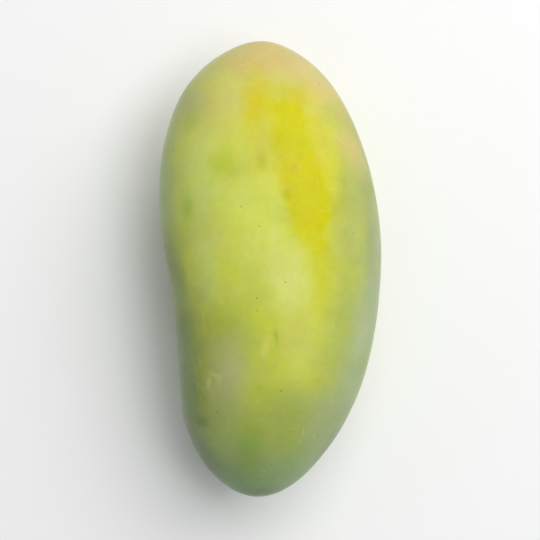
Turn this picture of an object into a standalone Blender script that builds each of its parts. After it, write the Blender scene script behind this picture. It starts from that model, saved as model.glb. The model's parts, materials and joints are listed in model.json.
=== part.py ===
"""A picked mango lying on its flat cheek, with the stub of its stalk left in the basin at the stalk end.

Metres, +Z up. The fruit rests on the XY plane on a small flat spot, and the origin is the centre of its box
on that plane. Its length runs along Y with the stalk end at +Y, its full back faces +X, and its belly, with
the shallow hollow above the beak, faces -X. The two cheeks, the broad sides of a mango, face down and up.
"""

import math

import bmesh
import bpy
from mathutils import Matrix, Vector

MM = 0.001

# Driving dimensions of the fruit
LENGTH = 150.4 * MM  # stalk end to tip, before the basin takes the top of the dome away
THICKNESS = 65.5 * MM  # cheek to cheek, before the rest spot is pressed flat
CHEEK_TAPER = 0.09  # how much thicker than an even oval the stalk end is, and how much thinner the tip
SECTION_POWER = 2.1  # 2 is an ellipse, and more is squarer
SECTION_KEEL = 0.03  # the belly's edge is sharper than the back's by this much of the power
CENTRE_DRIFT = 1.2 * MM  # the tip lies this much lower than the middle of the fruit, and the stalk end higher

# The outline seen from above, as half-width and sideways shift at nine stations, 22.5 degrees apart round the
# oval from the stalk end to the tip. The half-width is that of a plain oval passing through the station.
STATIONS = (
    (33.0 * MM, -3.0 * MM),
    (38.0 * MM, -3.4 * MM),
    (40.0 * MM, -3.2 * MM),
    (38.1 * MM, -1.4 * MM),
    (35.2 * MM, 1.4 * MM),
    (34.3 * MM, 1.4 * MM),
    (35.5 * MM, -2.0 * MM),
    (34.4 * MM, -4.0 * MM),
    (33.0 * MM, -4.2 * MM),
)

# Where it rests: the lowest part of the lower cheek, pressed flat
REST_DEPTH = 0.5 * MM

# The basin that the stalk grows from, off the middle of the stalk end towards the lower cheek
BASIN_TURN = math.radians(8)
BASIN_DEPTH = 2.2 * MM
BASIN_RADIUS = 5.2 * MM

# The beak, a low nub on the belly's edge where the flower's style was
BEAK_TURN = math.radians(131)  # from the stalk end, round the oval
BEAK_HEIGHT = 0.7 * MM
BEAK_RADIUS = 3.2 * MM

# Slow swells that no grown fruit is without, as height, waves along it, waves round it and phase
SWELLS = (
    (0.18 * MM, 2, 3, 0.7),
    (0.16 * MM, 3, 2, 2.1),
    (0.12 * MM, 5, 4, 4.0),
)

# The stalk's stub and the plain hole it stands in. The stub's head is given as radius and height over the
# basin's floor, from under its collar, clear of the basin's rising wall, to the middle of its dished end.
STUB_RADIUS = 2.1 * MM
STUB_HEAD = (
    (STUB_RADIUS, 0.6 * MM),
    (2.45 * MM, 0.85 * MM),
    (2.25 * MM, 0.95 * MM),
    (1.5 * MM, 1.0 * MM),
    (0.85 * MM, 0.75 * MM),
    (0, 0.85 * MM),
)
HOLE_DEPTH = 2.6 * MM
FIT_GAP = 0.3 * MM
CUTTER_HEIGHT = 12 * MM  # tall enough for the hole's cutter to pass out of the basin

# How finely the solids are faceted
RINGS = 54
RING_CROWDING = 1.2  # over 1 crowds the rings towards the stalk end, where the basin is
SIDES = 56
STUB_SIDES = 20
SLOPE_STEP = 0.002  # radians, the step that the skin's slope is measured over
EDGE_ANGLE = math.radians(35)  # edges sharper than this are shaded sharp

SKIN_COLOUR = (0.50, 0.56, 0.13, 1)
STALK_COLOUR = (0.16, 0.11, 0.06, 1)


def clear_scene():
    """Removes whatever the startup file put in the scene."""
    for thing in list(bpy.data.objects):
        bpy.data.objects.remove(thing)


def station_curve(values, turn):
    """The smoothest cosine curve through evenly spaced values; turn is 0 at the first and pi at the last."""
    last = len(values) - 1
    total = 0.0
    for wave in range(last + 1):
        share = sum(
            value * math.cos(math.pi * wave * place / last) * (0.5 if place in (0, last) else 1.0)
            for place, value in enumerate(values)
        )
        total += share * 2 / last * math.cos(wave * turn) * (0.5 if wave in (0, last) else 1.0)
    return total


def dome(distance, radius):
    """1 at a bump's centre, falling smoothly to almost 0 about two radii away."""
    return math.exp(-((distance / radius) ** 2))


def section_reach(angle):
    """How far the cross-section's edge lies from its centre, in half-widths; angle 0 faces the back."""
    power = SECTION_POWER * (1 + SECTION_KEEL * math.cos(angle) / 2)
    return (abs(math.cos(angle)) ** power + abs(math.sin(angle)) ** power) ** (-1 / power)


def oval_point(turn, angle):
    """A point of the fruit's skin before its basin, beak and swells; z is 0 at mid-thickness."""
    half_width = station_curve([station[0] for station in STATIONS], turn) * math.sin(turn)
    shift = station_curve([station[1] for station in STATIONS], turn)
    half_thick = THICKNESS / 2 * (1 + CHEEK_TAPER * math.cos(turn)) * math.sin(turn)
    reach = section_reach(angle)
    return Vector((
        shift + half_width * reach * math.cos(angle),
        LENGTH / 2 * math.cos(turn),
        half_thick * reach * math.sin(angle) + CENTRE_DRIFT * math.cos(turn) ** 3,
    ))


def skin_normal(turn, angle):
    """The way out of the oval at a point of its skin."""
    if math.sin(turn) < SLOPE_STEP:
        return Vector((0, math.cos(turn), 0))
    along = oval_point(turn + SLOPE_STEP, angle) - oval_point(turn - SLOPE_STEP, angle)
    around = oval_point(turn, angle + SLOPE_STEP) - oval_point(turn, angle - SLOPE_STEP)
    return around.cross(along).normalized()


def stalk_axis():
    """The middle of the basin's mouth on the oval, and the way the stalk grows from it."""
    lower_cheek = -math.pi / 2
    return oval_point(BASIN_TURN, lower_cheek), skin_normal(BASIN_TURN, lower_cheek)


def skin_point(turn, angle):
    """A point of the finished skin."""
    point = oval_point(turn, angle)
    rise = dome((point - oval_point(BEAK_TURN, math.pi)).length, BEAK_RADIUS) * BEAK_HEIGHT
    for height, along, around, phase in SWELLS:
        wave = math.sin(along * turn + phase) * math.cos(around * angle + phase)
        rise += height * math.sin(turn) ** 2 * wave
    point += skin_normal(turn, angle) * rise
    if turn < math.pi / 2:
        mouth, way_out = stalk_axis()
        off_axis = (point - mouth).cross(way_out).length
        point -= way_out * BASIN_DEPTH * dome(off_axis, BASIN_RADIUS)
    return point


def ring_turn(ring):
    """How far round the oval a ring lies, from 0 at the stalk end to pi at the tip."""
    return math.pi * (ring / RINGS) ** RING_CROWDING


def fruit_mesh():
    """The fruit's skin as rings of points closed by a pole at each end."""
    shape = bmesh.new()
    stalk_pole = shape.verts.new(skin_point(0, 0))
    rings = [
        [shape.verts.new(skin_point(ring_turn(ring), 2 * math.pi * side / SIDES)) for side in range(SIDES)]
        for ring in range(1, RINGS)
    ]
    tip_pole = shape.verts.new(skin_point(math.pi, 0))
    for side in range(SIDES):
        after = (side + 1) % SIDES
        shape.faces.new((stalk_pole, rings[0][after], rings[0][side]))
        shape.faces.new((tip_pole, rings[-1][side], rings[-1][after]))
        for near, far in zip(rings, rings[1:]):
            shape.faces.new((near[side], near[after], far[after], far[side]))
    bmesh.ops.recalc_face_normals(shape, faces=shape.faces)
    return shape


def press_flat(shape):
    """Takes off the lowest part of the lower cheek, so that the fruit rests on one flat face."""
    lowest = min(vert.co.z for vert in shape.verts)
    cut = bmesh.ops.bisect_plane(
        shape,
        geom=shape.verts[:] + shape.edges[:] + shape.faces[:],
        dist=1e-7,
        plane_co=(0, 0, lowest + REST_DEPTH),
        plane_no=(0, 0, -1),
        clear_outer=True,
    )
    rim = [edge for edge in cut["geom_cut"] if isinstance(edge, bmesh.types.BMEdge)]
    bmesh.ops.contextual_create(shape, geom=rim)
    bmesh.ops.recalc_face_normals(shape, faces=shape.faces)


def stand_on_origin(shape):
    """Moves the fruit so that the origin is its box's centre on the ground, and returns the move."""
    low = Vector(min(vert.co[axis] for vert in shape.verts) for axis in range(3))
    high = Vector(max(vert.co[axis] for vert in shape.verts) for axis in range(3))
    move = -Vector(((low.x + high.x) / 2, (low.y + high.y) / 2, low.z))
    bmesh.ops.translate(shape, verts=shape.verts, vec=move)
    return move


def add_object(name, shape, material):
    """Makes an object of a bmesh, shaded smooth apart from its sharp edges."""
    mesh = bpy.data.meshes.new(name)
    shape.to_mesh(mesh)
    shape.free()
    mesh.shade_smooth()
    mesh.set_sharp_from_angle(angle=EDGE_ANGLE)
    made = bpy.data.objects.new(name, mesh)
    if material is not None:
        mesh.materials.append(material)
    bpy.context.scene.collection.objects.link(made)
    return made


def plain_material(name, colour, roughness):
    """A Principled material of one colour."""
    material = bpy.data.materials.new(name)
    material.use_nodes = True
    shader = material.node_tree.nodes["Principled BSDF"]
    shader.inputs["Base Color"].default_value = colour
    shader.inputs["Roughness"].default_value = roughness
    shader.inputs["Metallic"].default_value = 0
    return material


def turned_solid(profile, sides):
    """A solid turned about +Y from (radius, height along Y) pairs that start and end on the axis."""
    shape = bmesh.new()
    first = shape.verts.new((0, profile[0][1], 0))
    last = shape.verts.new((0, profile[-1][1], 0))
    rings = []
    for radius, height in profile[1:-1]:
        turns = [2 * math.pi * side / sides for side in range(sides)]
        rings.append([shape.verts.new((radius * math.cos(t), height, radius * math.sin(t))) for t in turns])
    for side in range(sides):
        after = (side + 1) % sides
        shape.faces.new((first, rings[0][side], rings[0][after]))
        shape.faces.new((last, rings[-1][after], rings[-1][side]))
        for near, far in zip(rings, rings[1:]):
            shape.faces.new((near[side], far[side], far[after], near[after]))
    bmesh.ops.recalc_face_normals(shape, faces=shape.faces)
    return shape


def lean_to(shape, foot, way_out):
    """Leans a solid turned about +Y over to the stalk's axis, with its foot at the given point."""
    lean = Vector((0, 1, 0)).rotation_difference(way_out).to_matrix().to_4x4()
    bmesh.ops.transform(shape, matrix=Matrix.Translation(foot) @ lean, verts=shape.verts)


def cut_stalk_hole(fruit, foot, way_out):
    """Sinks the plain round hole that the stub stands in, with its foot at the given point."""
    radius = STUB_RADIUS + FIT_GAP
    profile = ((0, 0), (radius, 0), (radius, CUTTER_HEIGHT), (0, CUTTER_HEIGHT))
    cutter_shape = turned_solid(profile, STUB_SIDES)
    lean_to(cutter_shape, foot, way_out)
    cutter = add_object("stalk_hole_cutter", cutter_shape, None)
    cutter.hide_render = True
    cutter.display_type = "WIRE"
    cut = fruit.modifiers.new("Stalk hole", "BOOLEAN")
    cut.operation = "DIFFERENCE"
    cut.solver = "EXACT"
    cut.object = cutter


def make_fruit(material):
    """The fruit itself; returns the middle of the hole's floor and the way out of the hole."""
    shape = fruit_mesh()
    press_flat(shape)
    move = stand_on_origin(shape)
    mouth, way_out = stalk_axis()
    hole_floor = mouth + move - way_out * (BASIN_DEPTH + HOLE_DEPTH)
    fruit = add_object("fruit", shape, material)
    cut_stalk_hole(fruit, hole_floor, way_out)
    return hole_floor, way_out


def make_stub(material, hole_floor, way_out):
    """The woody stub that is left where the stalk snapped off, standing in its hole with a gap all round."""
    head = tuple((radius, HOLE_DEPTH + height) for radius, height in STUB_HEAD)
    profile = ((0, FIT_GAP), (STUB_RADIUS, FIT_GAP)) + head
    shape = turned_solid(profile, STUB_SIDES)
    lean_to(shape, hole_floor, way_out)
    add_object("stalk_stub", shape, material)


def main():
    """Builds the fruit and the stub of its stalk."""
    clear_scene()
    hole_floor, way_out = make_fruit(plain_material("mango skin", SKIN_COLOUR, 0.45))
    make_stub(plain_material("dry stalk", STALK_COLOUR, 0.85), hole_floor, way_out)


if __name__ == "__main__":
    main()
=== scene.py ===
"""Dresses the mango: its waxy, mottled peel and the broken stub of its stalk, on a pale floor in soft light.

Metres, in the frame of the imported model: +Y runs along the fruit to its stalk end, +Z up out of the upper
cheek, and +X out of the full back. The camera looks straight down on the upper cheek.
"""

import json
import logging
import math
from collections.abc import Callable, Iterator
from contextlib import contextmanager
from dataclasses import dataclass
from enum import Enum

import bmesh
import bpy
from mathutils import Euler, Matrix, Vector

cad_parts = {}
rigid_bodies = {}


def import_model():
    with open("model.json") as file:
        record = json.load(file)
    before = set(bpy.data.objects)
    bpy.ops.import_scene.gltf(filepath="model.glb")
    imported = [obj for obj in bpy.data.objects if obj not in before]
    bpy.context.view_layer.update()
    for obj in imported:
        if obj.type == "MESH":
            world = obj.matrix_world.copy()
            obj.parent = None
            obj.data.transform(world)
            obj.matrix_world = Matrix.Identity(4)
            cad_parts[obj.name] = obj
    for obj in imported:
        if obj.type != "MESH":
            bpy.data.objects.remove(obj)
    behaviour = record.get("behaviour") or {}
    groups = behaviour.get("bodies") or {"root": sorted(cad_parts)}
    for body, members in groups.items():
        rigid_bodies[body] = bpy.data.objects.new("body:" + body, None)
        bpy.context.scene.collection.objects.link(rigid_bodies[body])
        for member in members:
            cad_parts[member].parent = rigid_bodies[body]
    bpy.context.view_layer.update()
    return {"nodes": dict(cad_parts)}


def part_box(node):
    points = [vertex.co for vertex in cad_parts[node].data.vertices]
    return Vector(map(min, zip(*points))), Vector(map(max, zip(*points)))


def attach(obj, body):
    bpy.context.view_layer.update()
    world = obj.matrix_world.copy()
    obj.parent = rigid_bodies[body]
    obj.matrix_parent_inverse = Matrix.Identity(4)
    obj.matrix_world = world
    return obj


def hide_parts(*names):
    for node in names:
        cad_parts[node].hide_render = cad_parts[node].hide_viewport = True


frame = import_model()

MM = 0.001
LOG = logging.getLogger("mango")

# Where the stalk grows: the middle of the basin's floor, and how far its axis leans from +Y towards -Z
BASIN_FLOOR = Vector((-3.0, 72.6, 29.35)) * MM
STALK_LEAN = math.radians(16.3)
STALK_AXIS = Vector((0, math.cos(STALK_LEAN), -math.sin(STALK_LEAN)))

# The beak, on the belly's edge
BEAK = Vector((-28.7, -49.3, 32.2)) * MM

# The reach of a ball in which distances come out in millimetres, and of one drawn out along the stalk
BALL = Vector((1, 1, 1)) * MM
STALK_BALL = Vector((1, 4, 1)) * MM

# The Mix node's sockets for colours
MIX_SHARE, MIX_BASE, MIX_OVER, MIX_RESULT = 0, 6, 7, 2

Socket = bpy.types.NodeSocket
Feed = Socket | float | tuple[float, ...]


def from_srgb(red: float, green: float, blue: float) -> tuple[float, float, float, float]:
    """Turns a colour as a screen shows it, 0 to 255, into the linear colour that a shader takes.

    Args:
        red: The screen's red.
        green: The screen's green.
        blue: The screen's blue.

    Returns:
        The linear colour with full alpha.
    """
    shares = (level / 255 for level in (red, green, blue))
    linear = (s / 12.92 if s <= 0.04045 else ((s + 0.055) / 1.055) ** 2.4 for s in shares)
    return (*linear, 1.0)


class Hue(Enum):
    """The peel's colours, from the greenest to the ripest, its bloom and scars, and a dark grey-green for
    painted shade on the rims.
    """

    TIP_GREEN = from_srgb(133, 164, 125)
    MOSS = from_srgb(124, 142, 89)
    LEAF_GREEN = from_srgb(136, 161, 78)
    SPRING_GREEN = from_srgb(158, 190, 66)
    GRASS = from_srgb(151, 170, 90)
    KHAKI = from_srgb(144, 154, 98)
    SAGE = from_srgb(180, 196, 112)
    OLIVE = from_srgb(174, 182, 80)
    LIME = from_srgb(194, 202, 78)
    PALE_LIME = from_srgb(202, 210, 94)
    FRESH_LIME = from_srgb(216, 222, 107)
    PEAR = from_srgb(202, 216, 119)
    STRAW = from_srgb(199, 196, 50)
    BUTTER = from_srgb(206, 200, 106)
    RIPE_YELLOW = from_srgb(198, 192, 4)
    GOLD = from_srgb(207, 189, 34)
    OCHRE = from_srgb(170, 168, 24)
    BLUSH = from_srgb(207, 186, 117)
    CREAM = from_srgb(215, 217, 122)
    PALE_BLOOM = from_srgb(208, 213, 131)
    SILVER_BLOOM = from_srgb(168, 182, 141)
    GREY_BLOOM = from_srgb(157, 172, 104)
    DUSTY = from_srgb(178, 179, 130)
    # A dark grey-green that is painted shade on the rims, not a colour of the peel
    DULL_GREY = from_srgb(114, 124, 94)
    SCAR = from_srgb(84, 102, 50)
    CORK = from_srgb(107, 84, 54)


class Side(Enum):
    """Which side of the fruit a mark lies on, and so whether it is laid on straight along Z or X."""

    UPPER = "upper cheek"
    LOWER = "lower cheek"
    BELLY = "belly, towards -X"
    BACK = "back, towards +X"


@dataclass(frozen=True)
class Mark:
    """A soft-edged oval of another hue in the peel.

    Attributes:
        name: What it is.
        hue: Its colour.
        place: Its middle in X and Y on a cheek, or in Z and Y on the belly or the back, in millimetres.
        reach: Its half-width and half-length the same way, in millimetres.
        turn: How far its length is turned from Y, in degrees, counter-clockwise about Z or X.
        strength: How much of its hue shows at its middle.
        core: The share of its reach that is of full strength.
        side: The side that it lies on.
    """

    name: str
    hue: Hue
    place: tuple[float, float]
    reach: tuple[float, float]
    turn: float = 0
    strength: float = 0.8
    core: float = 0.0
    side: Side = Side.UPPER


@dataclass(frozen=True)
class Halo:
    """A soft-edged round spot of another hue.

    Attributes:
        hue: Its colour.
        edge: How far from its middle it starts to show, in millimetres.
        core: How far from its middle it is of full strength.
        strength: How much of its hue shows there.
    """

    hue: Hue
    edge: float
    core: float
    strength: float


@dataclass(frozen=True)
class Patches:
    """Soft patches, scattered at random.

    Attributes:
        size: The size of the largest, in metres.
        start: The noise's level at which a patch starts.
        end: The noise's level at which it is full.
        low: The level between the patches.
        high: The level inside them.
        detail: How many finer layers the noise has.
        roughness: How strong the finer layers are.
    """

    size: float
    start: float
    end: float
    low: float = 0
    high: float = 1
    detail: float = 2
    roughness: float = 0.5


class Graph:
    """Adds shader nodes to a material and joins them."""

    def __init__(self, material: bpy.types.Material) -> None:
        """Starts on an emptied node tree.

        Args:
            material: The material to build.
        """
        material.use_nodes = True
        self.tree = material.node_tree
        self.tree.nodes.clear()

    def node(self, kind: str, feeds: dict[str | int, Feed], **settings: object) -> bpy.types.Node:
        """Adds a node.

        Args:
            kind: The node's type.
            feeds: What goes into its inputs, each a socket or a plain value.
            **settings: The node's own settings.

        Returns:
            The new node.
        """
        made = self.tree.nodes.new(kind)
        for name, value in settings.items():
            setattr(made, name, value)
        for socket, feed in feeds.items():
            self.feed(made.inputs[socket], feed)
        return made

    def feed(self, socket: Socket, feed: Feed) -> None:
        """Links a socket to another, or sets its plain value."""
        if isinstance(feed, bpy.types.NodeSocket):
            self.tree.links.new(feed, socket)
        else:
            socket.default_value = feed

    def math(self, operation: str, first: Feed, second: Feed = 0.0) -> Socket:
        """One step of arithmetic.

        Args:
            operation: The Math node's operation.
            first: Its first value.
            second: Its second value.

        Returns:
            The result.
        """
        return self.node("ShaderNodeMath", {0: first, 1: second}, operation=operation).outputs[0]

    def fade(self, value: Feed, start: float, end: float, low: float = 0, high: float = 1) -> Socket:
        """Goes smoothly from one level to another as a value goes from start to end.

        Args:
            value: The value that is followed.
            start: Where the fade starts; it may lie above the end.
            end: Where the fade ends.
            low: The level at the start.
            high: The level at the end.

        Returns:
            The level.
        """
        if start > end:
            start, end, low, high = end, start, high, low
        feeds = {"Value": value, "From Min": start, "From Max": end, "To Min": low, "To Max": high}
        return self.node("ShaderNodeMapRange", feeds, interpolation_type="SMOOTHSTEP").outputs[0]

    def blend(self, share: Feed, base: Feed, over: Feed) -> Socket:
        """Lays one colour over another.

        Args:
            share: How much of the upper colour shows.
            base: The colour below.
            over: The colour above.

        Returns:
            The blended colour.
        """
        feeds = {MIX_SHARE: share, MIX_BASE: base, MIX_OVER: over}
        return self.node("ShaderNodeMix", feeds, data_type="RGBA").outputs[MIX_RESULT]

    def scaled(self, point: Socket, factors: tuple[float, float, float]) -> Socket:
        """Multiplies a point's X, Y and Z, each by its own factor."""
        return self.node("ShaderNodeVectorMath", {0: point, 1: factors}, operation="MULTIPLY").outputs[0]

    def nudged(self, point: Socket, jitter: Socket, reach: float) -> Socket:
        """Moves a point about by a noise's colour.

        Args:
            point: The point.
            jitter: The noise's colour.
            reach: How far apart the ends of its moves lie, in metres.

        Returns:
            The moved point.
        """
        middle = (0.5, 0.5, 0.5)
        shift = self.node("ShaderNodeVectorMath", {0: jitter, 1: middle}, operation="SUBTRACT").outputs[0]
        feeds = {0: shift, 1: (reach, reach, reach), 2: point}
        return self.node("ShaderNodeVectorMath", feeds, operation="MULTIPLY_ADD").outputs[0]

    def noise(self, where: Socket, size: float, detail: float = 2, roughness: float = 0.5) -> bpy.types.Node:
        """Fractal noise.

        Args:
            where: The point it is read at.
            size: The size of its largest spots, in metres.
            detail: How many finer layers it has.
            roughness: How strong the finer layers are.

        Returns:
            The noise node, with its value first and its colour second.
        """
        feeds = {"Vector": where, "Scale": 1 / size, "Detail": detail, "Roughness": roughness}
        return self.node("ShaderNodeTexNoise", feeds)

    def patches(self, where: Socket, kind: Patches) -> Socket:
        """Soft patches, scattered at random.

        Args:
            where: The point they are read at.
            kind: What they are like.

        Returns:
            Their level.
        """
        noise = self.noise(where, kind.size, kind.detail, kind.roughness).outputs[0]
        return self.fade(noise, kind.start, kind.end, kind.low, kind.high)

    def placed(self, where: Socket, place: Vector, turn: Euler, reach: Vector) -> Socket:
        """Reads a point in the frame of an oval, where the oval's edge lies at distance 1.

        Args:
            where: The point.
            place: The oval's middle.
            turn: How the oval is turned.
            reach: Its half-sizes.

        Returns:
            The point's distance from the oval's middle.
        """
        feeds = {"Vector": where, "Location": tuple(place), "Rotation": tuple(turn), "Scale": tuple(reach)}
        local = self.node("ShaderNodeMapping", feeds, vector_type="TEXTURE").outputs[0]
        return self.node("ShaderNodeVectorMath", {0: local}, operation="LENGTH").outputs["Value"]

    def finish(self, shader: bpy.types.Node) -> None:
        """Makes a shader the material's surface."""
        self.node("ShaderNodeOutputMaterial", {"Surface": shader.outputs[0]})


def deselect_all() -> None:
    """Leaves nothing selected."""
    for thing in bpy.context.view_layer.objects:
        thing.select_set(False)


def take_up(piece: bpy.types.Object) -> None:
    """Makes one object the only one that operators act on."""
    deselect_all()
    piece.select_set(True)
    bpy.context.view_layer.objects.active = piece


@contextmanager
def editing(piece: bpy.types.Object) -> Iterator[None]:
    """Opens an object in edit mode with nothing of it selected, and closes it again.

    Args:
        piece: The object to edit.

    Yields:
        Nothing; operators act on the object meanwhile.
    """
    take_up(piece)
    bpy.ops.object.mode_set(mode="EDIT")
    bpy.ops.mesh.select_all(action="DESELECT")
    yield
    bpy.ops.object.mode_set(mode="OBJECT")


def pick_faces(piece: bpy.types.Object, wanted: Callable[[bmesh.types.BMFace], bool]) -> None:
    """Selects, in edit mode, only the faces that pass a test.

    Args:
        piece: The object in edit mode.
        wanted: The test, given one face.
    """
    shape = bmesh.from_edit_mesh(piece.data)
    for face in shape.faces:
        face.select_set(wanted(face))
    bmesh.update_edit_mesh(piece.data)


def apply_modifier(piece: bpy.types.Object, kind: str, **settings: object) -> None:
    """Adds a modifier and applies it.

    Args:
        piece: The object.
        kind: The modifier's type.
        **settings: Its settings.
    """
    take_up(piece)
    modifier = piece.modifiers.new(kind.title(), kind)
    for name, value in settings.items():
        setattr(modifier, name, value)
    bpy.ops.object.modifier_apply(modifier=modifier.name)


def cloud_texture(name: str, size: float) -> bpy.types.Texture:
    """A cloud texture with spots of one size, for a displacement.

    Args:
        name: The texture's name.
        size: The size of its spots, in metres.

    Returns:
        The texture.
    """
    texture = bpy.data.textures.new(name, "CLOUDS")
    texture.noise_scale = size
    texture.noise_depth = 1
    return texture


# How deep a mark reaches through the fruit, in millimetres: so far that only its outline counts
THROUGH = 100_000

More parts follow.
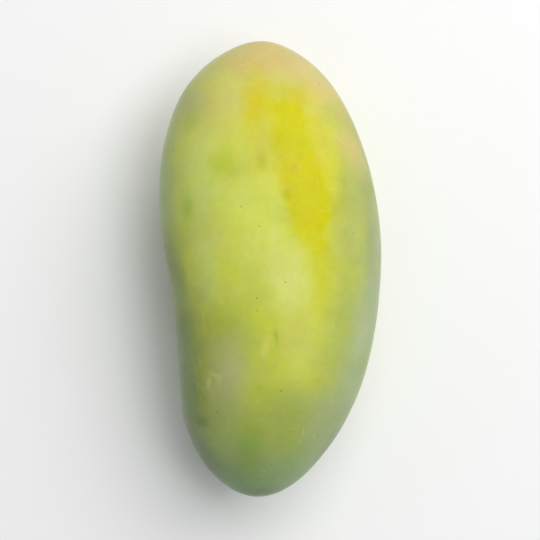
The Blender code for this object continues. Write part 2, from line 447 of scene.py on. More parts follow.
# The marks on the upper cheek stand where the photograph shows them; the others are of like kinds
MARKS = (
    Mark("pear-green flank", Hue.PEAR, (-21, 27), (10, 25), 0, 0.8),
    Mark("pear-green waist", Hue.PEAR, (-20.5, -2), (7, 17), 0, 0.65),
    Mark("butter shoulder", Hue.BUTTER, (-15, 55), (13, 17), 10, 0.7, 0.1),
    Mark("straw beside the streak", Hue.STRAW, (-2, 42), (9, 23), 0, 0.7),
    Mark("butter below the crown", Hue.BUTTER, (7, -21), (10, 11), 0, 0.5, 0.1),
    Mark("pale lime below the crown", Hue.PALE_LIME, (8, -31), (12, 13), 0, 0.65),
    Mark("bright cheek", Hue.FRESH_LIME, (-9.5, 17), (11, 16), 12, 0.6),
    Mark("blush on the shoulder", Hue.BLUSH, (4, 71), (26, 13), -6, 0.95, 0.35),
    Mark("blush down the back", Hue.BLUSH, (18, 58), (9, 14), 36, 0.75, 0.1),
    Mark("pink by the back", Hue.BLUSH, (26.5, 39), (6, 13), 14, 0.75, 0.1),
    Mark("gold branch", Hue.GOLD, (-5, 54), (6, 12), 4, 0.65, 0.1),
    Mark("gold crown of the streak", Hue.GOLD, (3, 53), (14, 9), -12, 0.4, 0.1),
    Mark("gold edge of the streak", Hue.GOLD, (17, 34), (8, 27), 12, 0.5, 0.1),
    Mark("ripe streak, upper part", Hue.RIPE_YELLOW, (7, 39), (8, 19), 8, 0.95, 0.45),
    Mark("ripe streak", Hue.RIPE_YELLOW, (11.5, 21), (9.5, 19), 14, 1.0, 0.45),
    Mark("ripe trail", Hue.RIPE_YELLOW, (16.5, -1), (7, 18), 4, 0.55),
    Mark("olive strip towards the back", Hue.OLIVE, (23, 8), (7, 26), 0, 0.6, 0.1),
    # Painted shade: a darker khaki strip just inside the back's rim
    Mark("dull strip inside the back's edge", Hue.KHAKI, (26.5, 18), (7, 28), 5, 0.4, 0.1),
    # Partly bloom and partly painted sheen: silver-grey on the back's rim, where the peel turns away
    Mark("pale edge of the back", Hue.SILVER_BLOOM, (35, 13), (4, 17), 0, 0.6, 0.1),
    Mark("lime spot", Hue.LIME, (-12.5, 32.5), (10, 8), 20, 0.9, 0.1),
    Mark("heart of the lime spot", Hue.SPRING_GREEN, (-14.5, 34.5), (5.5, 5.5), 0, 0.22, 0.1),
    Mark("foot of the lime spot", Hue.SPRING_GREEN, (-10.5, 30.5), (5, 3.5), -20, 0.12),
    Mark("ochre fleck", Hue.OCHRE, (-1.8, 34), (2.4, 4), 0, 0.3, 0.1),
    Mark("ochre speck", Hue.OCHRE, (5, 23.5), (1.8, 2.8), 0, 0.35, 0.2),
    Mark("small ochre speck", Hue.OCHRE, (7.4, 32), (1.8, 2), 0, 0.3, 0.2),
    Mark("olive patch on the shoulder", Hue.OLIVE, (19.5, 52), (4.5, 4.5), 0, 0.4),
    Mark("green spot on the flank", Hue.SPRING_GREEN, (-26.5, 20), (3.6, 6.5), 0, 0.48),
    Mark("heart of the green spot", Hue.LEAF_GREEN, (-26.5, 19), (2.6, 4.5), 0, 0.18),
    Mark("pink above the green spot", Hue.DUSTY, (-25, 54), (6, 6), -30, 0.5),
    Mark("green spot on the shoulder", Hue.SPRING_GREEN, (-25, 47), (3.2, 5), -24, 0.4, 0.1),
    # Partly bloom and partly painted sheen: silver-grey on the belly's rim
    Mark("bloom on the belly's edge", Hue.SILVER_BLOOM, (-34, 28), (4, 20), 0, 0.35),
    # Partly bloom and partly a painted highlight: the broad cream glow on the crown
    Mark("bloom on the crown", Hue.CREAM, (4.5, -2), (9, 19), 16, 0.65, 0.1),
    # Painted highlight: a thin pale streak standing in for a glint on the crown
    Mark("fresh rub", Hue.PALE_BLOOM, (1.2, 9), (1.0, 6), 0, 0.6),
    Mark("khaki belly", Hue.GRASS, (-13, -20), (11, 12), -10, 0.5),
    Mark("olive low middle", Hue.GRASS, (8, -44), (14, 11), 0, 0.45),
    Mark("leaf-green foot", Hue.LEAF_GREEN, (-7, -57), (7.5, 13), 8, 0.62, 0.1),
    Mark("dull patch by the tip", Hue.KHAKI, (-12.5, -61), (5, 5), 0, 0.5),
    Mark("haze over the foot of the back", Hue.SILVER_BLOOM, (17, -49), (9, 21), -16, 0.5, 0.1),
    Mark("lime drop", Hue.LIME, (0.6, -24.2), (2.4, 5.5), -6, 0.6, 0.2),
    Mark("pale side of the drop", Hue.CREAM, (-1.4, -24), (1.8, 5), -16, 0.4, 0.1),
    Mark("crease by the drop", Hue.LEAF_GREEN, (1.7, -20.6), (1, 4.2), 8, 0.36, 0.1),
    Mark("grey-green flank below the trail", Hue.GREY_BLOOM, (24, -16), (9, 20), -6, 0.52, 0.1),
    # Partly the belly's own colour and partly painted shade: the mossy marks darken the belly towards its rim
    Mark("mossy waist", Hue.MOSS, (-31, -4), (5, 12), 0, 0.55),
    # Partly bloom and partly painted sheen: silver-grey along the back's rim
    Mark("bloom along the back", Hue.SILVER_BLOOM, (31, -24), (8, 44), -12, 0.75, 0.2),
    Mark("mossy belly", Hue.MOSS, (-25, -28), (11, 30), 0, 0.55),
    Mark("bloom on the belly side", Hue.DUSTY, (-13.5, -34), (9, 18), -4, 0.78),
    Mark("foot of the bloom", Hue.GREY_BLOOM, (-14, -44), (7.5, 11), 10, 0.6),
    Mark("grey wedge by the beak", Hue.GREY_BLOOM, (-16.5, -53), (9, 13), 16, 0.55, 0.1),
    # Painted shade: dark grey-green on the rims by the beak, the foot and the tip darkens the edges that turn
    # away from the light
    Mark("dull edge by the beak", Hue.DULL_GREY, (-24, -58.5), (5.5, 16), 38, 0.92),
    Mark("dull edge of the foot", Hue.DULL_GREY, (20, -59.5), (4, 17), -36, 0.6),
    Mark("dull edge of the tip", Hue.DULL_GREY, (-3, -73.5), (15, 4.5), 0, 0.6),
    Mark("curl of a rub, long leg", Hue.PALE_BLOOM, (-19.3, -35.2), (1, 2.8), 0, 0.36, 0.1),
    Mark("curl of a rub, top", Hue.PALE_BLOOM, (-17.8, -33), (1, 2.4), 72, 0.36, 0.1),
    Mark("curl of a rub, short leg", Hue.PALE_BLOOM, (-15.9, -34.2), (0.9, 2), -14, 0.28, 0.1),
    Mark("green by the beak", Hue.SCAR, (-22, -48.5), (3.2, 3), -30, 0.38),
    Mark("ripening patch below", Hue.GOLD, (6, 34), (17, 30), -14, 0.7, 0.0, Side.LOWER),
    Mark("blush below", Hue.BLUSH, (-4, 70), (24, 16), 0, 0.8, 0.2, Side.LOWER),
    Mark("pale spot where it lay", Hue.PALE_BLOOM, (2, 4), (16, 24), 8, 0.5, 0.2, Side.LOWER),
    Mark("olive spot below", Hue.OLIVE, (-12, -8), (8, 12), 24, 0.6, 0.0, Side.LOWER),
    Mark("green flank below", Hue.LEAF_GREEN, (-20, -24), (16, 36), -6, 0.6, 0.0, Side.LOWER),
    Mark("bloom below", Hue.GREY_BLOOM, (13, -30), (10, 17), 20, 0.5, 0.0, Side.LOWER),
    Mark("olive patch on the back", Hue.OLIVE, (37, 22), (11, 17), 12, 0.7, 0.1, Side.BACK),
    Mark("green spot on the back", Hue.LEAF_GREEN, (25, -6), (9, 14), -20, 0.6, 0.1, Side.BACK),
    Mark("lime patch on the back", Hue.LIME, (20, 36), (8, 13), 10, 0.5, 0.0, Side.BACK),
    Mark("rubbed spot on the back", Hue.GRASS, (40, -32), (8, 14), 16, 0.7, 0.1, Side.BACK),
    Mark("olive patch on the belly", Hue.OLIVE, (28, 34), (10, 16), -10, 0.6, 0.1, Side.BELLY),
    Mark("green spot on the belly", Hue.LEAF_GREEN, (36, 4), (8, 15), 14, 0.6, 0.1, Side.BELLY),
    Mark("rubbed spot on the belly", Hue.GRASS, (22, -22), (9, 13), -18, 0.6, 0.1, Side.BELLY),
    # Painted shade: the rim's dark grey-green carried round the beak onto the belly
    Mark("dull patch round the beak", Hue.DULL_GREY, (33, -56), (11, 15), 0, 0.45, 0.1, Side.BELLY),
)


@dataclass(frozen=True)
class Run:
    """How the ground colour runs along one side of the fruit, from the tip to the stalk end.

    Attributes:
        stops: The place of each hue along Y, in millimetres.
    """

    stops: tuple[tuple[float, Hue], ...]


CROWN_RUN = Run(
    (
        (-76, Hue.TIP_GREEN),
        (-60, Hue.GRASS),
        (-44, Hue.OLIVE),
        (-22, Hue.LIME),
        (0, Hue.PALE_LIME),
        (40, Hue.PALE_LIME),
        (62, Hue.BUTTER),
        (76, Hue.BLUSH),
    )
)
# The flanks' runs are partly their own greener colour and partly painted shade on the rims round the middle
# height
BELLY_RUN = Run(
    (
        (-76, Hue.TIP_GREEN),
        (-50, Hue.MOSS),
        (-20, Hue.MOSS),
        (2, Hue.MOSS),
        (22, Hue.SAGE),
        (50, Hue.SAGE),
        (76, Hue.BUTTER),
    )
)
BACK_RUN = Run(
    (
        (-76, Hue.TIP_GREEN),
        (-50, Hue.GREY_BLOOM),
        (-20, Hue.GREY_BLOOM),
        (5, Hue.KHAKI),
        (32, Hue.KHAKI),
        (50, Hue.OLIVE),
        (76, Hue.BLUSH),
    )
)


@dataclass(frozen=True)
class Peel:
    """The peel's finish: green going to yellow, with soft marks, mottling, lenticels and a waxy bloom, and
    with painted highlights on the crown and painted shade and sheen on the rims.

    Attributes:
        mid_height: The height where the upper cheek becomes the lower, in metres like the other lengths.
        wander: The size of each wandering of the marks' edges, and how far apart its ends lie.
        ragged: How ragged the marks' edges are.
        rim: How far from its middle a mark has faded away, in its own reaches.
        cheek_fade: How far from the middle height one cheek's marks are full and the other's gone.
        side_fade: How far out the marks of the back and the belly start, and are full.
        waves: The size of the waves in the edges of the flanks' colours, and how far apart their ends lie.
        flank_fade: How far over the middle a flank's colour starts, and how far out it is full.
        belly_height: How far from the middle height the belly's colour ends.
        back_height: The same for the back's colour.
        flank_core: How far from the middle height both are full.
        mottle: How far the clouds change the colour's depth and lightness.
        paling: The share of that by which they take away depth.
        hue_drift: How far they turn its hue.
        cloud_range: The noise's levels between which they change its hue and depth.
        cloud_grain: How much finer grain adds to their lightness.
        light_range: The levels of both together between which they change its lightness.
        bloom: How strongly the bloom shows on the flanks, where its grey round the middle height is partly
            painted sheen on the rims.
        bloom_fade: How far from the middle height the bloom ends, and where it is full.
        wisps: The bloom's wisps.
        lenticel_spacing: About how far apart the lenticels' cells are.
        lenticel_radius: The largest lenticel's radius.
        lenticels_shown: How strongly they show from place to place.
        speck_spacing: About how far apart the cells of the few brown specks are.
        speck_radius: The largest speck's radius.
        speck_strength: How strongly the specks show.
        dot_core: The share of a lenticel's or speck's radius that is of full strength.
        strokes: The lean of each set of scuffs, in radians, and its noise's scale along them.
        stroke_tilt: How far each set is also turned about X, as a share of its lean.
        stroke: The scuffs' noise.
        scuffed: How strongly the scuffs show from place to place.
        ring_jitter: How far apart the ends of the stalk ring's unevenness lie.
        stalk_halos: The green halo and the corky ring round the stalk.
        scar_halos: The dark point on the beak.
        smears: The roughness where there is no bloom.
        dulling: How much rougher full bloom makes it.
        grain_height: The relief's grain, as a share of its unevenness.
        pore_depth: The pores' depth, in the same way.
        style_pit: Where the style's pit starts and is full, in millimetres, and its depth in the same way.
        stalk_cracks: Where the cracks round the stalk start and are full, and their height in the same way.
        relief: The height of the relief's unevenness.
    """

    mid_height: float = 31 * MM
    wander: tuple[tuple[float, float], ...] = ((22 * MM, 2.6 * MM), (5 * MM, 0.78 * MM))
    ragged: float = 0.55
    rim: float = 1.15
    cheek_fade: float = 9 * MM
    side_fade: tuple[float, float] = (6 * MM, 18 * MM)
    waves: tuple[float, float] = (30 * MM, 26 * MM)
    flank_fade: tuple[float, float] = (8 * MM, 12 * MM)
    belly_height: float = 30 * MM
    back_height: float = 32 * MM
    flank_core: float = 9 * MM
    mottle: float = 0.055
    paling: float = 0.4
    hue_drift: float = 0.004
    cloud_range: tuple[float, float] = (0.3, 0.7)
    cloud_grain: float = 0.6
    light_range: tuple[float, float] = (0.5, 1.1)
    bloom: float = 0.4
    bloom_fade: tuple[float, float] = (22 * MM, 4 * MM)
    wisps: Patches = Patches(14 * MM, 0.35, 0.68, 0.3, 1, 4, 0.62)
    lenticel_spacing: float = 2.0 * MM
    lenticel_radius: float = 0.34 * MM
    lenticels_shown: Patches = Patches(20 * MM, 0.35, 0.65, 0.1, 0.4)
    speck_spacing: float = 8 * MM
    speck_radius: float = 0.42 * MM
    speck_strength: float = 0.5
    dot_core: float = 0.4
    strokes: tuple[tuple[float, float], ...] = ((0.5, 0.1), (-0.9, 0.16))
    stroke_tilt: float = -0.8
    stroke: Patches = Patches(1.3 * MM, 0.66, 0.76)
    scuffed: Patches = Patches(17 * MM, 0.5, 0.68, 0.1, 0.32, 1)
    ring_jitter: float = 1.2 * MM
    stalk_halos: tuple[Halo, ...] = (Halo(Hue.LEAF_GREEN, 9, 3.2, 0.6), Halo(Hue.CORK, 3.5, 2.8, 0.85))
    scar_halos: tuple[Halo, ...] = (Halo(Hue.SCAR, 3.2, 1.0, 0.5), Halo(Hue.CORK, 1.0, 0.6, 0.8))
    smears: Patches = Patches(11 * MM, 0.35, 0.7, 0.36, 0.5, 3, 0.6)
    dulling: float = 0.2
    grain_height: float = 0.12
    pore_depth: float = 0.12
    style_pit: tuple[float, float, float] = (2.2, 0.4, 3)
    stalk_cracks: tuple[float, float, float] = (4.6, 3, 1.2)
    relief: float = 0.25 * MM

    def make(self) -> bpy.types.Material:
        """Builds the material.

        Returns:
            The finished material.
        """
        material = bpy.data.materials.new("mango_peel")
        graph = Graph(material)
        where = graph.node("ShaderNodeTexCoord", {}).outputs["Object"]
        wandering = self._wandering(graph, where)
        colour = self._ripeness(graph, wandering)
        colour = self._marks(graph, colour, where, wandering)
        colour = self._mottling(graph, colour, where)
        # Bloom on the flanks, partly painted sheen: silver-grey round the middle height greys the rims as a
        # grazing reflection would
        bloom = self._bloom_and_rim_sheen_share(graph, where)
        colour = graph.blend(bloom, colour, Hue.SILVER_BLOOM.value)
        dots = self._dots(graph, where, self.lenticel_spacing, self.lenticel_radius)
        shown = graph.patches(where, self.lenticels_shown)
        colour = graph.blend(graph.math("MULTIPLY", dots, shown), colour, Hue.PALE_BLOOM.value)
        specks = self._dots(graph, where, self.speck_spacing, self.speck_radius)
        colour = graph.blend(graph.math("MULTIPLY", specks, self.speck_strength), colour, Hue.CORK.value)
        colour = graph.blend(self._scuffs(graph, where), colour, Hue.PALE_BLOOM.value)
        colour = self._stalk_ring(graph, colour, where)
        colour = self._style_scar(graph, colour, where)
        shader = graph.node(
            "ShaderNodeBsdfPrincipled",
            {
                "Base Color": colour,
                "Roughness": self._roughness(graph, where, bloom),
                "Normal": self._relief(graph, where, dots),
                "IOR": 1.4,
                "Specular IOR Level": 0.18,
                "Subsurface Weight": 0.06,
                "Subsurface Radius": (1.0, 0.8, 0.3),
                "Subsurface Scale": 2 * MM,
                "Sheen Weight": 0.27,
                "Sheen Roughness": 0.3,
                "Sheen Tint": (0.86, 0.9, 0.88, 1),
            },
        )
        graph.finish(shader)
        return material

    def _wandering(self, graph: Graph, where: Socket) -> Socket:
        """Moves each point about a little, so that what is read there has a natural edge.

        Args:
            graph: The material's graph.
            where: The point on the peel.

        Returns:
            The moved point.
        """
        moved = where
        for size, reach in self.wander:
            moved = graph.nudged(moved, graph.noise(where, size).outputs["Color"], reach)
        return moved

    def _ripeness(self, graph: Graph, where: Socket) -> Socket:
        """The ground colour: green at the tip, yellower towards the stalk end, and greener and darker on the
        flanks, where the darkness round the middle height is partly painted shade on the rims.

        Args:
            graph: The material's graph.
            where: The wandering point.

        Returns:
            The colour.
        """
        across, along, height = graph.node("ShaderNodeSeparateXYZ", {0: where}).outputs
        crown, belly, back = (self._run(graph, along, run) for run in (CROWN_RUN, BELLY_RUN, BACK_RUN))
        off_middle = graph.math("ABSOLUTE", graph.math("SUBTRACT", height, self.mid_height))
        wave_size, wave_reach = self.waves
        uneven = graph.math("SUBTRACT", graph.noise(where, wave_size).outputs[0], 0.5)
        off_middle = graph.math("ADD", off_middle, graph.math("MULTIPLY", uneven, wave_reach))
        start, full = self.flank_fade
        for side, hues, end in ((-1, belly, self.belly_height), (1, back, self.back_height)):
            here = graph.fade(across, -side * start, side * full)
            share = graph.math("MULTIPLY", here, graph.fade(off_middle, end, self.flank_core))
            crown = graph.blend(share, crown, hues)
        return crown

    @staticmethod
    def _run(graph: Graph, along: Socket, run: Run) -> Socket:
        """One run of hues along the fruit.

        Args:
            graph: The material's graph.
            along: The place along Y.
            run: The hues.

        Returns:
            The colour.
        """
        first, last = run.stops[0], run.stops[-1]
        feeds = {"Value": along, "From Min": first[0] * MM, "From Max": last[0] * MM}
        share = graph.node("ShaderNodeMapRange", feeds).outputs[0]
        ramp = graph.node("ShaderNodeValToRGB", {0: share})
        ramp.color_ramp.interpolation = "B_SPLINE"
        elements = ramp.color_ramp.elements
        elements[0].color = first[1].value
        elements[1].color = last[1].value
        for place, hue in run.stops[1:-1]:
            elements.new((place - first[0]) / (last[0] - first[0])).color = hue.value
        return ramp.outputs[0]

    def _marks(self, graph: Graph, colour: Socket, where: Socket, wandering: Socket) -> Socket:
        """Lays the marks over the ground colour, one after the other.

        Args:
            graph: The material's graph.
            colour: The colour so far.
            where: The point on the peel.
            wandering: The wandering point.

        Returns:
            The colour with the marks.
        """
        across, _, height = graph.node("ShaderNodeSeparateXYZ", {0: where}).outputs
        upper = graph.fade(height, self.mid_height - self.cheek_fade, self.mid_height + self.cheek_fade)
        start, full = self.side_fade
        back = graph.fade(across, start, full)
        belly = graph.fade(across, -start, -full)
        lower = graph.math("SUBTRACT", 1.0, upper)
        shown = {Side.UPPER: upper, Side.LOWER: lower, Side.BACK: back, Side.BELLY: belly}
        rag = graph.noise(where, size=6 * MM, detail=4, roughness=0.6).outputs[0]
        rag = graph.math("MULTIPLY", graph.math("SUBTRACT", rag, 0.5), self.ragged)
        for mark in MARKS:
            away = self._away(graph, wandering, mark)
            share = graph.fade(graph.math("ADD", away, rag), mark.core, self.rim, mark.strength, 0)
            colour = graph.blend(graph.math("MULTIPLY", share, shown[mark.side]), colour, mark.hue.value)
        return colour

    @staticmethod
    def _away(graph: Graph, where: Socket, mark: Mark) -> Socket:
        """How far a point lies from a mark's middle, 1 at the mark's edge.

        Args:
            graph: The material's graph.
            where: The point.
            mark: The mark.

        Returns:
            The distance.
        """
        turn = math.radians(mark.turn)
        if mark.side in (Side.UPPER, Side.LOWER):
            place, reach = Vector((*mark.place, 0)), Vector((*mark.reach, THROUGH))
            return graph.placed(where, place * MM, Euler((0, 0, turn)), reach * MM)
        place = Vector((0, mark.place[1], mark.place[0]))
        reach = Vector((THROUGH, mark.reach[1], mark.reach[0]))
        return graph.placed(where, place * MM, Euler((turn, 0, 0)), reach * MM)

    def _mottling(self, graph: Graph, colour: Socket, where: Socket) -> Socket:
        """Makes the colour uneven in soft clouds: warmer or greener, paler or deeper, lighter or darker.

        Args:
            graph: The material's graph.
            colour: The colour so far.
            where: The point on the peel.

        Returns:
            The mottled colour.
        """
        cloud = graph.noise(where, size=13 * MM, detail=3, roughness=0.55).outputs["Color"]
        clouds = graph.node("ShaderNodeSeparateColor", {0: cloud}).outputs
        grain = graph.noise(where, size=2.4 * MM, detail=4, roughness=0.7).outputs[0]
        lightness = graph.math("ADD", clouds[2], graph.math("MULTIPLY", grain, self.cloud_grain))
        start, end = self.cloud_range
        feeds = {
            "Hue": graph.fade(clouds[0], start, end, 0.5 - self.hue_drift, 0.5 + self.hue_drift),
            "Saturation": graph.fade(clouds[1], start, end, 1 - self.mottle * self.paling, 1 + self.mottle),
            "Value": graph.fade(lightness, *self.light_range, 1 - self.mottle, 1 + self.mottle),
            "Color": colour,
        }
        return graph.node("ShaderNodeHueSaturation", feeds).outputs[0]

    def _bloom_and_rim_sheen_share(self, graph: Graph, where: Socket) -> Socket:
        """How much waxy bloom lies at a point: on the flanks, where nothing has rubbed it off, and in wisps.
        Its grey round the middle height, the rim seen from above, is partly painted sheen.

        Args:
            graph: The material's graph.
            where: The point on the peel.

        Returns:
            The bloom's share.
        """
        height = graph.node("ShaderNodeSeparateXYZ", {0: where}).outputs["Z"]
        off_middle = graph.math("ABSOLUTE", graph.math("SUBTRACT", height, self.mid_height))
        flank = graph.fade(off_middle, *self.bloom_fade, 0, self.bloom)
        return graph.math("MULTIPLY", flank, graph.patches(where, self.wisps))

    def _dots(self, graph: Graph, where: Socket, spacing: float, radius: float) -> Socket:
        """Fine dots, scattered at random.

        Args:
            graph: The material's graph.
            where: The point on the peel.
            spacing: About how far apart their cells are.
            radius: The largest dot's radius.

        Returns:
            1 in a dot and 0 between them.
        """
        cells = graph.node("ShaderNodeTexVoronoi", {"Vector": where, "Scale": 1 / spacing, "Randomness": 1.0})
        return graph.fade(cells.outputs["Distance"], radius / spacing, radius / spacing * self.dot_core)

    def _scuffs(self, graph: Graph, where: Socket) -> Socket:
        """Faint scuffs from picking and packing: short thin strokes in the bloom, close together in places.

        Args:
            graph: The material's graph.
            where: The point on the peel.

        Returns:
            How strongly a scuff shows.
        """
        shown: Feed = 0.0
        for lean, along in self.strokes:
            feeds = {"Vector": where, "Rotation": (self.stroke_tilt * lean, 0, lean), "Scale": (1, along, 1)}
            drawn = graph.node("ShaderNodeMapping", feeds, vector_type="POINT").outputs[0]
            shown = graph.math("MAXIMUM", shown, graph.patches(drawn, self.stroke))
        return graph.math("MULTIPLY", shown, graph.patches(where, self.scuffed))

    def _stalk_ring(self, graph: Graph, colour: Socket, where: Socket) -> Socket:
        """The corky ring round the stalk, with a green halo outside it.

        Args:
            graph: The material's graph.
            colour: The colour so far.
            where: The point on the peel.

        Returns:
            The colour with the ring.
        """
        jitter = graph.noise(where, size=1.2 * MM, detail=3, roughness=0.6).outputs["Color"]
        rough = graph.nudged(where, jitter, self.ring_jitter)
        away = graph.placed(rough, BASIN_FLOOR, Euler((-STALK_LEAN, 0, 0)), STALK_BALL)
        return self._halos(graph, colour, away, self.stalk_halos)

    def _style_scar(self, graph: Graph, colour: Socket, where: Socket) -> Socket:
        """The dark point on the beak where the flower's style was.

        Args:
            graph: The material's graph.
            colour: The colour so far.
            where: The point on the peel.

        Returns:
            The colour with the scar.
        """
        away = graph.placed(where, BEAK, Euler(), BALL)
        return self._halos(graph, colour, away, self.scar_halos)

    @staticmethod
    def _halos(graph: Graph, colour: Socket, away: Socket, halos: tuple[Halo, ...]) -> Socket:
        """Lays halos round one point over the colour, one after the other.

        Args:
            graph: The material's graph.
            colour: The colour so far.
            away: The distance from the halos' middle, in millimetres.
            halos: The halos.

        Returns:
            The colour with the halos.
        """
        for halo in halos:
            share = graph.fade(away, halo.edge, halo.core, 0, halo.strength)
            colour = graph.blend(share, colour, halo.hue.value)
        return colour

    def _roughness(self, graph: Graph, where: Socket, bloom: Socket) -> Socket:
        """Satin where the bloom is rubbed off, and duller under it.

        Args:
            graph: The material's graph.
            where: The point on the peel.
            bloom: The bloom's share.

        Returns:
            The roughness.
        """
        smears = graph.patches(where, self.smears)
        return graph.math("ADD", smears, graph.math("MULTIPLY", bloom, self.dulling))

    def _relief(self, graph: Graph, where: Socket, dots: Socket) -> Socket:
        """The fine relief: unevenness, a finer grain, sunk pores, the style's pit and cracks by the stalk.

        Args:
            graph: The material's graph.
            where: The point on the peel.
            dots: 1 in a pore.

        Returns:
            The normal.
        """
        uneven = graph.noise(where, size=5 * MM).outputs[0]
        grain = graph.noise(where, size=0.8 * MM).outputs[0]
        height = graph.math("ADD", uneven, graph.math("MULTIPLY", grain, self.grain_height))
        height = graph.math("SUBTRACT", height, graph.math("MULTIPLY", dots, self.pore_depth))
        from_beak = graph.placed(where, BEAK, Euler(), BALL)
        edge, core, depth = self.style_pit
        height = graph.math("SUBTRACT", height, graph.fade(from_beak, edge, core, 0, depth))
        from_stalk = graph.placed(where, BASIN_FLOOR, Euler(), BALL)
        cracks = graph.noise(where, size=0.5 * MM, detail=3, roughness=0.6).outputs[0]
        edge, core, depth = self.stalk_cracks
        cracks = graph.math("MULTIPLY", cracks, graph.fade(from_stalk, edge, core, 0, depth))
        height = graph.math("ADD", height, cracks)
        feeds = {"Height": height, "Strength": 0.5, "Distance": self.relief}
        return graph.node("ShaderNodeBump", feeds).outputs[0]


@dataclass(frozen=True)
class DryStalk:
    """The stub's finish: grey-brown wood with fibres along it and a paler ring of wood in its broken end.

    Attributes:
        dark: The colour between the fibres.
        light: The colour of the fibres and of the ring.
        pith: The colour of the pith.
        fibre_range: The noise's levels between which dark goes over into light.
        end: How far over the basin's floor the broken end starts and is full, in millimetres.
        ring_inside: The radii at which the ring starts and is full, from the middle out, in millimetres.
        ring_outside: The same from the rim in.
        ring_strength: How strongly the ring shows.
        pith_radii: The radii at which the pith starts and is full, in millimetres.
        pith_strength: How strongly the pith shows.
    """

    dark: tuple[float, ...] = from_srgb(62, 48, 34)
    light: tuple[float, ...] = from_srgb(134, 112, 82)
    pith: tuple[float, ...] = from_srgb(40, 30, 20)
    fibre_range: tuple[float, float] = (0.35, 0.65)
    end: tuple[float, float] = (0.5, 0.75)
    ring_inside: tuple[float, float] = (0.5, 1.1)
    ring_outside: tuple[float, float] = (2.0, 1.5)
    ring_strength: float = 0.6
    pith_radii: tuple[float, float] = (0.8, 0.4)
    pith_strength: float = 0.7

    def make(self) -> bpy.types.Material:
        """Builds the material.

        Returns:
            The finished material.
        """
        material = bpy.data.materials.new("dry_stalk_wood")
        graph = Graph(material)
        where = graph.node("ShaderNodeTexCoord", {}).outputs["Object"]
        feeds = {
            "Vector": where,
            "Location": tuple(BASIN_FLOOR),
            "Rotation": (-STALK_LEAN, 0, 0),
            "Scale": tuple(BALL),
        }
        local = graph.node("ShaderNodeMapping", feeds, vector_type="TEXTURE").outputs[0]
        feeds = {"Vector": graph.scaled(local, (1, 0.16, 1)), "Scale": 4.0, "Detail": 5, "Roughness": 0.65}
        fibre = graph.node("ShaderNodeTexNoise", feeds).outputs[0]
        flat = graph.scaled(local, (1, 0, 1))
        radius = graph.node("ShaderNodeVectorMath", {0: flat}, operation="LENGTH").outputs["Value"]
        colour = graph.blend(graph.fade(fibre, *self.fibre_range), self.dark, self.light)
        height = graph.node("ShaderNodeSeparateXYZ", {0: local}).outputs["Y"]
        end = graph.fade(height, *self.end)
        inside, outside = graph.fade(radius, *self.ring_inside), graph.fade(radius, *self.ring_outside)
        ring = graph.math("MULTIPLY", graph.math("MULTIPLY", inside, outside), end)
        colour = graph.blend(graph.math("MULTIPLY", ring, self.ring_strength), colour, self.light)
        pith = graph.math("MULTIPLY", graph.fade(radius, *self.pith_radii, 0, self.pith_strength), end)
        colour = graph.blend(pith, colour, self.pith)
        bump = graph.node("ShaderNodeBump", {"Height": fibre, "Strength": 0.8, "Distance": 0.15 * MM})
        feeds = {"Base Color": colour, "Roughness": 0.85, "Normal": bump.outputs[0]}
        graph.finish(graph.node("ShaderNodeBsdfPrincipled", feeds))
        return material


@dataclass(frozen=True)
class PaleFloor:
    """The floor's finish, a matt off-white."""

    def make(self) -> bpy.types.Material:
        """Builds the material.

        Returns:
            The finished material.
        """
        material = bpy.data.materials.new("pale_floor")
        graph = Graph(material)
        feeds = {"Base Color": from_srgb(247, 247, 246), "Roughness": 0.9, "Specular IOR Level": 0.2}
        graph.finish(graph.node("ShaderNodeBsdfPrincipled", feeds))
        return material


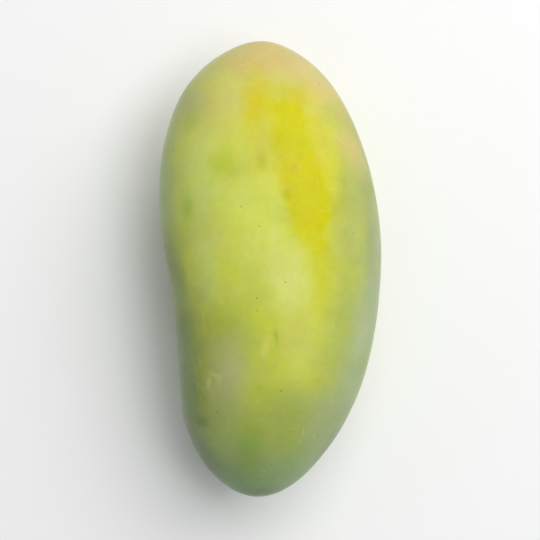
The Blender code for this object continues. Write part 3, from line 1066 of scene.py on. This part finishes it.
@dataclass
class Fruit:
    """The fruit's skin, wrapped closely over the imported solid, with the slow unevenness of a grown thing.

    Attributes:
        cuts: How many cuts each side of the first cube gets.
        room: The ball's size before it is wrapped, as a share of the fruit's box.
        merging: How close together the solid's points are merged.
        hole_radius: The radius of the solid's hole for the stub, which the skin closes.
        hole_share: The share of that radius within which the middles of the hole's faces lie.
        hole_reach: How far along the stalk's axis they lie at most from the basin's floor.
        swells: The size and the height of each slow unevenness, in metres.
        flat_height: The height over which the unevenness grows from nothing to full.
        flat_share: The share of that height which it keeps off altogether.
    """

    cuts: int = 39
    room: float = 1.02
    merging: float = 0.01 * MM
    hole_radius: float = 2.4 * MM
    hole_share: float = 0.997
    hole_reach: float = 6 * MM
    swells: tuple[tuple[float, float], ...] = ((26 * MM, 0.5 * MM), (9 * MM, 0.14 * MM))
    flat_height: float = 1.0 * MM
    flat_share: float = 0.2

    def build(self) -> bpy.types.Object:
        """Models and dresses the skin.

        Returns:
            The finished piece.
        """
        guide = self._guide()
        skin = self._ball()
        apply_modifier(skin, "SHRINKWRAP", target=guide, wrap_method="TARGET_PROJECT")
        self._swell(skin)
        apply_modifier(skin, "SUBSURF", levels=1, render_levels=1)
        bpy.data.objects.remove(guide)
        take_up(skin)
        bpy.ops.object.shade_smooth()
        skin.data.materials.append(Peel().make())
        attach(skin, "root")
        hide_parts("fruit")
        return skin

    def _guide(self) -> bpy.types.Object:
        """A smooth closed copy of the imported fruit, without the stub's hole, for the skin to lie on.

        Returns:
            The guide, which isn't part of the object.
        """
        guide = bpy.data.objects.new("skin_guide", frame["nodes"]["fruit"].data.copy())
        bpy.context.scene.collection.objects.link(guide)
        with editing(guide):
            bpy.ops.mesh.select_all(action="SELECT")
            bpy.ops.mesh.remove_doubles(threshold=self.merging)
            pick_faces(guide, self._in_hole)
            bpy.ops.mesh.delete(type="FACE")
            bpy.ops.mesh.select_mode(type="EDGE")
            bpy.ops.mesh.select_non_manifold(
                extend=False, use_wire=False, use_multi_face=False, use_non_contiguous=False, use_verts=False
            )
            bpy.ops.mesh.edge_face_add()
            bpy.ops.mesh.poke()
        apply_modifier(guide, "SUBSURF", levels=1, render_levels=1)
        return guide

    def _in_hole(self, face: bmesh.types.BMFace) -> bool:
        """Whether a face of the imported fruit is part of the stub's hole."""
        from_floor = face.calc_center_median() - BASIN_FLOOR
        along = from_floor.dot(STALK_AXIS)
        off_axis = (from_floor - STALK_AXIS * along).length
        return abs(along) < self.hole_reach and off_axis < self.hole_radius * self.hole_share

    def _ball(self) -> bpy.types.Object:
        """A ball of even squares, drawn out to the fruit's size and place.

        Returns:
            The ball.
        """
        low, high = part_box("fruit")
        deselect_all()
        bpy.ops.mesh.primitive_cube_add(size=2)
        skin = bpy.context.object
        skin.name = "mango_skin"
        with editing(skin):
            bpy.ops.mesh.select_all(action="SELECT")
            bpy.ops.mesh.subdivide(number_cuts=self.cuts)
            bpy.ops.transform.tosphere(value=1)
            bpy.ops.transform.resize(value=(high - low) / 2 * self.room)
            bpy.ops.transform.translate(value=(low + high) / 2)
        return skin

    def _swell(self, skin: bpy.types.Object) -> None:
        """Gives the skin its slow unevenness everywhere but on the flat spot.

        Args:
            skin: The wrapped skin.
        """
        group = skin.vertex_groups.new(name="above_flat")
        for vertex in skin.data.vertices:
            weight = min(1.0, max(0.0, vertex.co.z / self.flat_height - self.flat_share))
            group.add([vertex.index], weight, "REPLACE")
        for count, (size, height) in enumerate(self.swells):
            apply_modifier(
                skin,
                "DISPLACE",
                texture=cloud_texture(f"swell_{count}", size),
                texture_coords="LOCAL",
                strength=height,
                mid_level=0.5,
                vertex_group=group.name,
            )


@dataclass
class Stub:
    """The broken stub of the stalk, standing in the basin.

    Attributes:
        sides: How many sides it has.
        radius: Its radius where it leaves the skin.
        collar: Its radius at the widest.
        sunk: How deep its foot lies under the basin's floor.
        height: How far it would stand over the basin's floor if its steps made up all of it.
        collar_rise: The share of that height up to the collar.
        neck_rise: The share from the collar to the neck's end.
        lip_rise: The share from there to the broken end.
        lip: The broken end's width as a share of the neck's.
        rings: The width and the rise of each ring in the broken end, from the rim in.
        splinters: The size and the height of the splinters.
    """

    sides: int = 40
    radius: float = 2.1 * MM
    collar: float = 2.5 * MM
    sunk: float = 1.2 * MM
    height: float = 1.0 * MM
    collar_rise: float = 0.45
    neck_rise: float = 0.3
    lip_rise: float = 0.15
    lip: float = 0.93
    rings: tuple[tuple[float, float], ...] = (
        (0.45 * MM, 0.05 * MM),
        (0.35 * MM, -0.22 * MM),
        (0.4 * MM, -0.1 * MM),
        (0.35 * MM, 0.12 * MM),
    )
    splinters: tuple[float, float] = (0.7 * MM, 0.25 * MM)

    def build(self) -> bpy.types.Object:
        """Models and dresses the stub.

        Returns:
            The finished piece.
        """
        deselect_all()
        bpy.ops.mesh.primitive_cylinder_add(vertices=self.sides, radius=self.radius, depth=self.sunk)
        stub = bpy.context.object
        stub.name = "stalk_stub_wood"
        with editing(stub):
            bpy.ops.mesh.select_all(action="SELECT")
            bpy.ops.transform.translate(value=(0, 0, -self.sunk / 2))
            pick_faces(stub, lambda face: face.normal.z > 0.9)
            self._raise(self.collar_rise, self.collar / self.radius)
            self._raise(self.neck_rise, 1.0)
            self._raise(self.lip_rise, self.lip)
            for width, rise in self.rings:
                bpy.ops.mesh.inset(thickness=width, depth=rise)
            bpy.ops.mesh.poke()
        self._place(stub)
        apply_modifier(stub, "SUBSURF", levels=3, render_levels=3)
        size, height = self.splinters
        apply_modifier(
            stub,
            "DISPLACE",
            texture=cloud_texture("stub_splinters", size),
            texture_coords="LOCAL",
            strength=height,
            mid_level=0.5,
        )
        take_up(stub)
        bpy.ops.object.shade_smooth()
        stub.data.materials.append(DryStalk().make())
        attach(stub, "root")
        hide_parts("stalk_stub")
        return stub

    def _raise(self, share: float, widening: float) -> None:
        """Draws the selected end out by a share of the stub's height, and widens or narrows it."""
        bpy.ops.mesh.extrude_region_move(TRANSFORM_OT_translate={"value": (0, 0, self.height * share)})
        bpy.ops.transform.resize(value=(widening, widening, 1))

    def _place(self, stub: bpy.types.Object) -> None:
        """Leans the upright stub over to the stalk's axis and puts it in the basin.

        Args:
            stub: The stub, upright on the origin.
        """
        stub.rotation_euler = (-math.pi / 2 - STALK_LEAN, 0, 0)
        stub.location = BASIN_FLOOR
        take_up(stub)
        bpy.ops.object.transform_apply(location=True, rotation=True, scale=True)


@dataclass(frozen=True)
class Lamp:
    """One soft light.

    Attributes:
        name: Its name.
        place: Where it stands, in metres.
        size: The side of its square face, in metres.
        power: Its power, in watts.
    """

    name: str
    place: tuple[float, float, float]
    size: float
    power: float


@dataclass
class Studio:
    """The floor, the lights, the surroundings and the camera.

    Attributes:
        floor_side: The side of the floor, in metres.
        lamps: The lights, all turned to the fruit.
        sky: How bright the surroundings are.
        lens: The camera's lens, in millimetres.
        framed: How much of the floor's length the picture shows at the fruit's widest height, in metres.
    """

    floor_side: float = 4.0
    lamps: tuple[Lamp, ...] = (
        Lamp("key", (0.46, 0.56, 1.0), 1.1, 12.1),
        Lamp("overhead", (0.37, -0.05, 1.05), 0.4, 1.76),
    )
    sky: float = 0.352
    lens: float = 110
    framed: float = 0.178

    def build(self) -> None:
        """Sets up everything round the fruit."""
        self._lay_floor()
        for lamp in self.lamps:
            self._hang(lamp)
        self._light_surroundings()
        self._stand_camera()
        bpy.context.scene.view_settings.view_transform = "Standard"

    def _lay_floor(self) -> None:
        """Lays the floor that the fruit rests on."""
        deselect_all()
        bpy.ops.mesh.primitive_plane_add(size=self.floor_side)
        floor = bpy.context.object
        floor.name = "floor"
        floor.data.materials.append(PaleFloor().make())

    def _hang(self, lamp: Lamp) -> None:
        """Hangs a square soft light and turns it to the fruit.

        Args:
            lamp: The light.
        """
        deselect_all()
        bpy.ops.object.light_add(type="AREA", location=lamp.place)
        light = bpy.context.object
        light.name = lamp.name
        light.data.size = lamp.size
        light.data.energy = lamp.power
        light.visible_camera = False
        low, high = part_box("fruit")
        light.rotation_euler = ((low + high) / 2 - light.location).to_track_quat("-Z", "Y").to_euler()

    def _light_surroundings(self) -> None:
        """Makes the surroundings an even pale white."""
        world = bpy.data.worlds.new("pale_surroundings")
        world.use_nodes = True
        background = world.node_tree.nodes["Background"]
        background.inputs["Color"].default_value = from_srgb(250, 252, 255)
        background.inputs["Strength"].default_value = self.sky
        bpy.context.scene.world = world

    def _stand_camera(self) -> None:
        """Puts the camera straight over the fruit, with the stalk end up in the picture."""
        low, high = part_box("fruit")
        widest = (low.z + high.z) / 2
        deselect_all()
        bpy.ops.object.camera_add(rotation=(0, 0, 0))
        camera = bpy.context.object
        camera.data.lens = self.lens
        height = widest + self.framed * self.lens / camera.data.sensor_width
        camera.location = ((low.x + high.x) / 2, (low.y + high.y) / 2, height)
        camera.data.clip_start = 10 * MM
        bpy.context.scene.camera = camera


def main() -> None:
    """Builds the studio and the fruit."""
    logging.basicConfig(level=logging.INFO, format="%(name)s: %(message)s")
    Studio().build()
    for maker in (Fruit(), Stub()):
        piece = maker.build()
        LOG.info("%s: %d faces", piece.name, len(piece.data.polygons))


if __name__ == "__main__":
    main()
